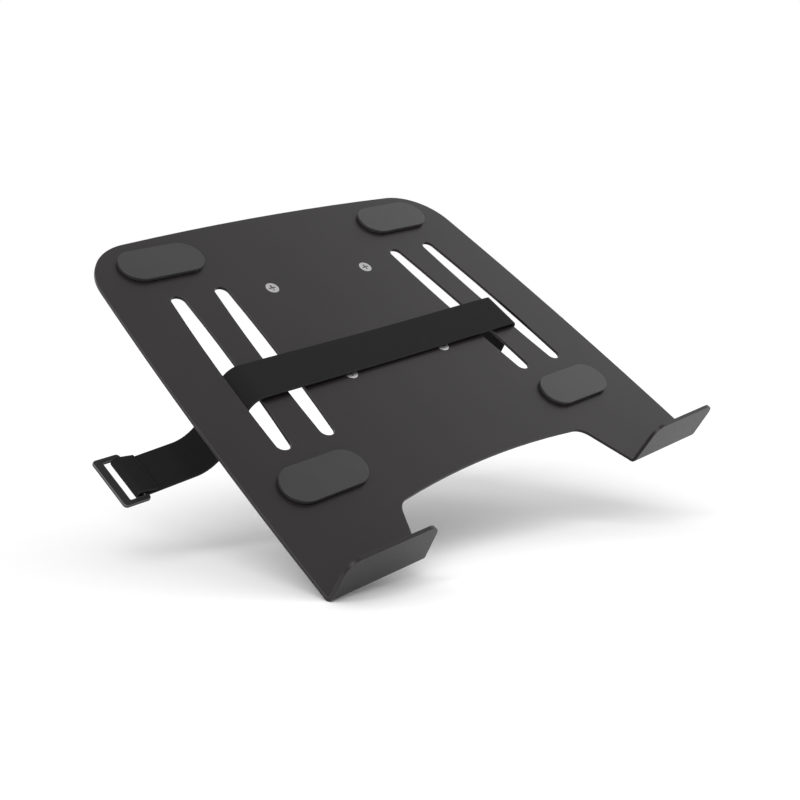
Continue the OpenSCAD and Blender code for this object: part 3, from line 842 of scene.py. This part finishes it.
# every second row of hooks faces the other way
facing = np.repeat(np.where(np.arange(len(spots_x)) % 2 == 0, 1.0, -1.0), len(spots_y))
turned = hook_points() * np.stack([facing, facing, np.ones(gx.size)], -1)[:, None, None, :]
placed = turned + np.stack([gx, gy, np.zeros(gx.size)], -1)[:, None, None, :]
hooks = tube_piece("hook_rows", on_tail(placed), hook_thread)
for piece in (patch, hooks):
    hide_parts("strap_hook_patch")

# %% [markdown]
# Stitching
#
# A stitch is a short piece of twisted thread that dives into the tape at both ends. Its surface is
# a tube along a low arch, and the two strands of the twist are a swelling that winds round it.

# %% Stitches
STITCH_L, STITCH_T, STITCH_R, STITCH_STEP = 0.0024, 0.00035, 0.00017, 0.0034
SEAM_BACK = 0.0015
stitch_count = int((STRAP_W - STITCH_L) / STITCH_STEP) + 1


def stitch_points(rows=17, columns=10):
    """A stitch along y on the plane z = 0. For a from -90 to 90 degrees its middle line is
    y = (L/2 - r) sin a, z = h cos(a)^0.7 - 0.3 r, and its radius is r (1 + 0.14 cos(2 b - 5 a)) for
    angle b round the thread. It leans over towards its ends, and closes there."""
    a = np.linspace(-np.pi / 2, np.pi / 2, rows)
    b = np.linspace(0, 2 * np.pi, columns, endpoint=False)
    arch = STITCH_T - 1.15 * STITCH_R
    middle_y = (STITCH_L / 2 - STITCH_R) * np.sin(a)
    middle_z = arch * np.cos(a) ** 0.7 - STITCH_R * 0.3
    swell = STITCH_R * (1 + 0.14 * np.cos(2 * b[None] - 5 * a[:, None]))
    swell[[0, -1]] = 0
    points = np.zeros((rows, columns, 3))
    points[..., 0] = swell * np.cos(b)[None]
    points[..., 1] = middle_y[:, None] + swell * np.sin(b)[None] * np.sin(a)[:, None] * -0.5
    points[..., 2] = middle_z[:, None] + swell * np.sin(b)[None]
    return points


def stitch_row(start, heading):
    """Stitches across the strap at a path point: turned so that z is square to the heading."""
    one = stitch_points()
    y = (np.arange(stitch_count) - (stitch_count - 1) / 2) * STITCH_STEP
    x, z = one[..., 0], one[..., 2] + STRAP_T / 2
    c, s = np.cos(heading), np.sin(heading)
    out = np.zeros((stitch_count, *one.shape))
    out[..., 0] = start[0] + x * c - z * s
    out[..., 2] = start[1] + x * s + z * c
    out[..., 1] = STRAP_Y + y[:, None, None] + one[..., 1]
    return out


thread, tree, shader = start_finish("thread", IOR=1.5, Specular_IOR_Level=0.15)
grain = use_group(tree, fine_grain, Vector=place(tree), Grain_Size=0.0001, Cloud_Size=0.002)
set_two_tone(tree, shader, grain["Cloud"], grey(0.004), grey(0.007))
set_roughness(tree, shader, grain["Height"], 0.7, 0.85)
bump(tree, shader, grain["Height"], distance=0.00003, strength=0.6)

flap_ahead = np.array([np.cos(flap_heading), np.sin(flap_heading)])
loop_row = stitch_row(left.points[-1] - SEAM_BACK * flap_ahead, flap_heading)
rows_back = [PATCH_END + 2 * STITCH_T, PATCH_END + PATCH_L - 2 * STITCH_T]
tail_back = np.array([-np.cos(HANG_SLOPE), np.sin(HANG_SLOPE)])
patch_rows = np.concatenate([stitch_row(free_end + d * tail_back, -HANG_SLOPE) for d in rows_back])
loop_stitches = tube_piece("loop_stitches", loop_row, thread)
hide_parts("loop_stitching")
patch_stitches = tube_piece("patch_stitches", patch_rows, thread)
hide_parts("patch_stitching")

# %% [markdown]
# Ring
#
# The ring is a flat plastic frame with narrow rounded edges, and a round bar inside the strap's
# loop. Its surface is a section carried round the ring. At each place an inner and an outer outline
# say how wide the section is, and the section is a rectangle with round corners, which grow into a
# full circle on the bar.

# %% Ring
RING_WINDOW, RING_OPEN, RING_ARM, RING_BAR, RING_END = 0.0266, 0.0043, 0.0033, 0.0051, 0.0016
RING_CORNER, WINDOW_CORNER, RING_EDGE, RING_TILT = 0.0022, 0.0005, 0.0005, np.radians(4)
RING_IN = BAR_BACK + LOOP_R + STRAP_T / 2 + RING_OPEN
RING_OUT = RING_IN + RING_BAR
RING_SHIFT = 0.0004
RING_Y = STRAP_Y - RING_SHIFT
# the round bar's half length, the stretch over which it turns flat, and the flat beside a corner
BAR_HALF, BAR_TURN, FLAT_SPARE = 0.0137, 0.0005, 0.0001


def round_box(low_x, high_x, half_y, radius, corner):
    """A rectangle with round corners, anticlockwise from its lower +x corner. Each quarter circle
    has corner points. Each straight part has even points, and closer ones near its ends, where the
    arms turn into the bar."""
    close = np.linspace(0.020, 0.048, 7)
    even = np.linspace(0.07, 0.93, 20)
    t = np.concatenate([close, even, 1 - close[::-1]])[:, None]
    parts = []
    centres = [(high_x - radius, half_y - radius, 0), (low_x + radius, half_y - radius, 90),
               (low_x + radius, radius - half_y, 180), (high_x - radius, radius - half_y, 270)]
    arcs = []
    for x, y, start in centres:
        a = np.radians(start + np.linspace(0, 90, corner))
        arcs.append(np.stack([x + radius * np.cos(a), y + radius * np.sin(a)], 1))
    for k in range(4):
        before, after = arcs[k - 1][-1], arcs[k][0]
        parts += [before + (after - before) * t, arcs[k]]
    return np.concatenate(parts)


def ring_points(corner=9, turns=6):
    """Point (i, b): inner i and outer i are the ends of the section's width, s is half of it, h
    half the thickness and e the corners' radius. Across, the point is (s - e) sign(cos b) + e cos b
    from their middle, and up (h - e) sign(sin b) + e sin b. Beside each corner one more point on
    the flat keeps the shading of the flat even. Returns the points and their map."""
    half_y = RING_WINDOW / 2 + RING_ARM
    outer = round_box(-RING_OUT, RING_END, half_y, RING_CORNER, corner)
    inner = round_box(-RING_IN, -RING_T / 2, RING_WINDOW / 2, WINDOW_CORNER, corner)
    # near is 1 on the round bar and 0 on the rest of the frame
    near = (ease((outer[:, 0] + RING_T) / RING_T)
            * ease((BAR_HALF - np.abs(outer[:, 1])) / BAR_TURN))
    outer[:, 0] -= near * (RING_END - RING_T / 2)
    h = RING_T / 2
    e = (RING_EDGE + near * (h - RING_EDGE))[:, None]
    middle, spread = (outer + inner) / 2, (outer - inner) / 2
    s = np.linalg.norm(spread, axis=1)[:, None]
    quarter = np.linspace(0, np.pi / 2, turns)
    b = np.concatenate([quarter + k * np.pi / 2 for k in range(4)])[None]
    sign_x = np.repeat([1, -1, -1, 1], turns)[None]
    sign_z = np.repeat([1, 1, -1, -1], turns)[None]
    out = (s - e) * sign_x + e * np.cos(b)
    up = (h - e) * sign_z + e * np.sin(b)
    before = np.array([[0, -1], [1, 0], [0, 1], [-1, 0]])
    after = np.array([[-1, 0], [0, -1], [1, 0], [0, 1]])
    spare = np.minimum(np.concatenate([s - e, h - e], 1), FLAT_SPARE)[:, None]
    corners = np.stack([out, up], -1).reshape(len(s), 4, turns, 2)
    first = corners[:, :, 0] + spare * before
    last = corners[:, :, -1] + spare * after
    ring_section = np.concatenate([first[:, :, None], corners, last[:, :, None]], 2)
    out, up = np.moveaxis(ring_section.reshape(len(s), -1, 2), -1, 0)
    x = middle[:, :1] + spread[:, :1] / s * out
    y = middle[:, 1:] + spread[:, 1:] / s * out
    cos_tilt, sin_tilt = np.cos(RING_TILT - TAIL_SLOPE), np.sin(RING_TILT - TAIL_SLOPE)
    points = np.stack([bar_centre[0] + x * cos_tilt + up * sin_tilt, RING_Y + y,
                       bar_centre[1] - x * sin_tilt + up * cos_tilt], -1)
    # the map's second part, the mask of a painted highlight, is 1 in the middle of each rounded
    # edge and 0 on the flats
    painted_edge_highlight = np.tile(np.concatenate([[0], np.sin(2 * quarter), [0]]), 4)[None] * (1 - near)[:, None]
    round_way = np.broadcast_to(np.arange(len(s))[:, None] / len(s), painted_edge_highlight.shape)
    ring_map = np.stack([round_way, painted_edge_highlight], -1)
    return np.concatenate([points, points[:1]]), np.concatenate([ring_map, ring_map[:1]])


plastic, tree, shader = start_finish("ring_plastic", IOR=1.5, Specular_IOR_Level=0.32)
grain = use_group(tree, fine_grain, Vector=place(tree), Grain_Size=0.00035, Cloud_Size=0.01)
edge_map = add_node(tree, "ShaderNodeUVMap", uv_map="UVMap").outputs[0]
painted_edge_highlight = math(tree, "MULTIPLY", axis_part(tree, edge_map, 1), 0.9)
body_colour = mix_colours(tree, in_range(tree, grain["Cloud"], 0, 1), grey(0.0085), grey(0.0115))
# painted highlight: the rounded edges get a paler colour by the map's mask
set_colour(tree, shader, mix_colours(tree, painted_edge_highlight, body_colour, grey(0.11)))
set_roughness(tree, shader, grain["Height"], 0.38, 0.46)
bump(tree, shader, grain["Height"], distance=0.00001, strength=0.5)
ring_surface, ring_map = ring_points()
ring = grid_piece("moulded_ring", "ring", ring_surface, texture_map=ring_map, flip=True)
ring.data.materials.append(plastic)
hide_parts("strap_ring")
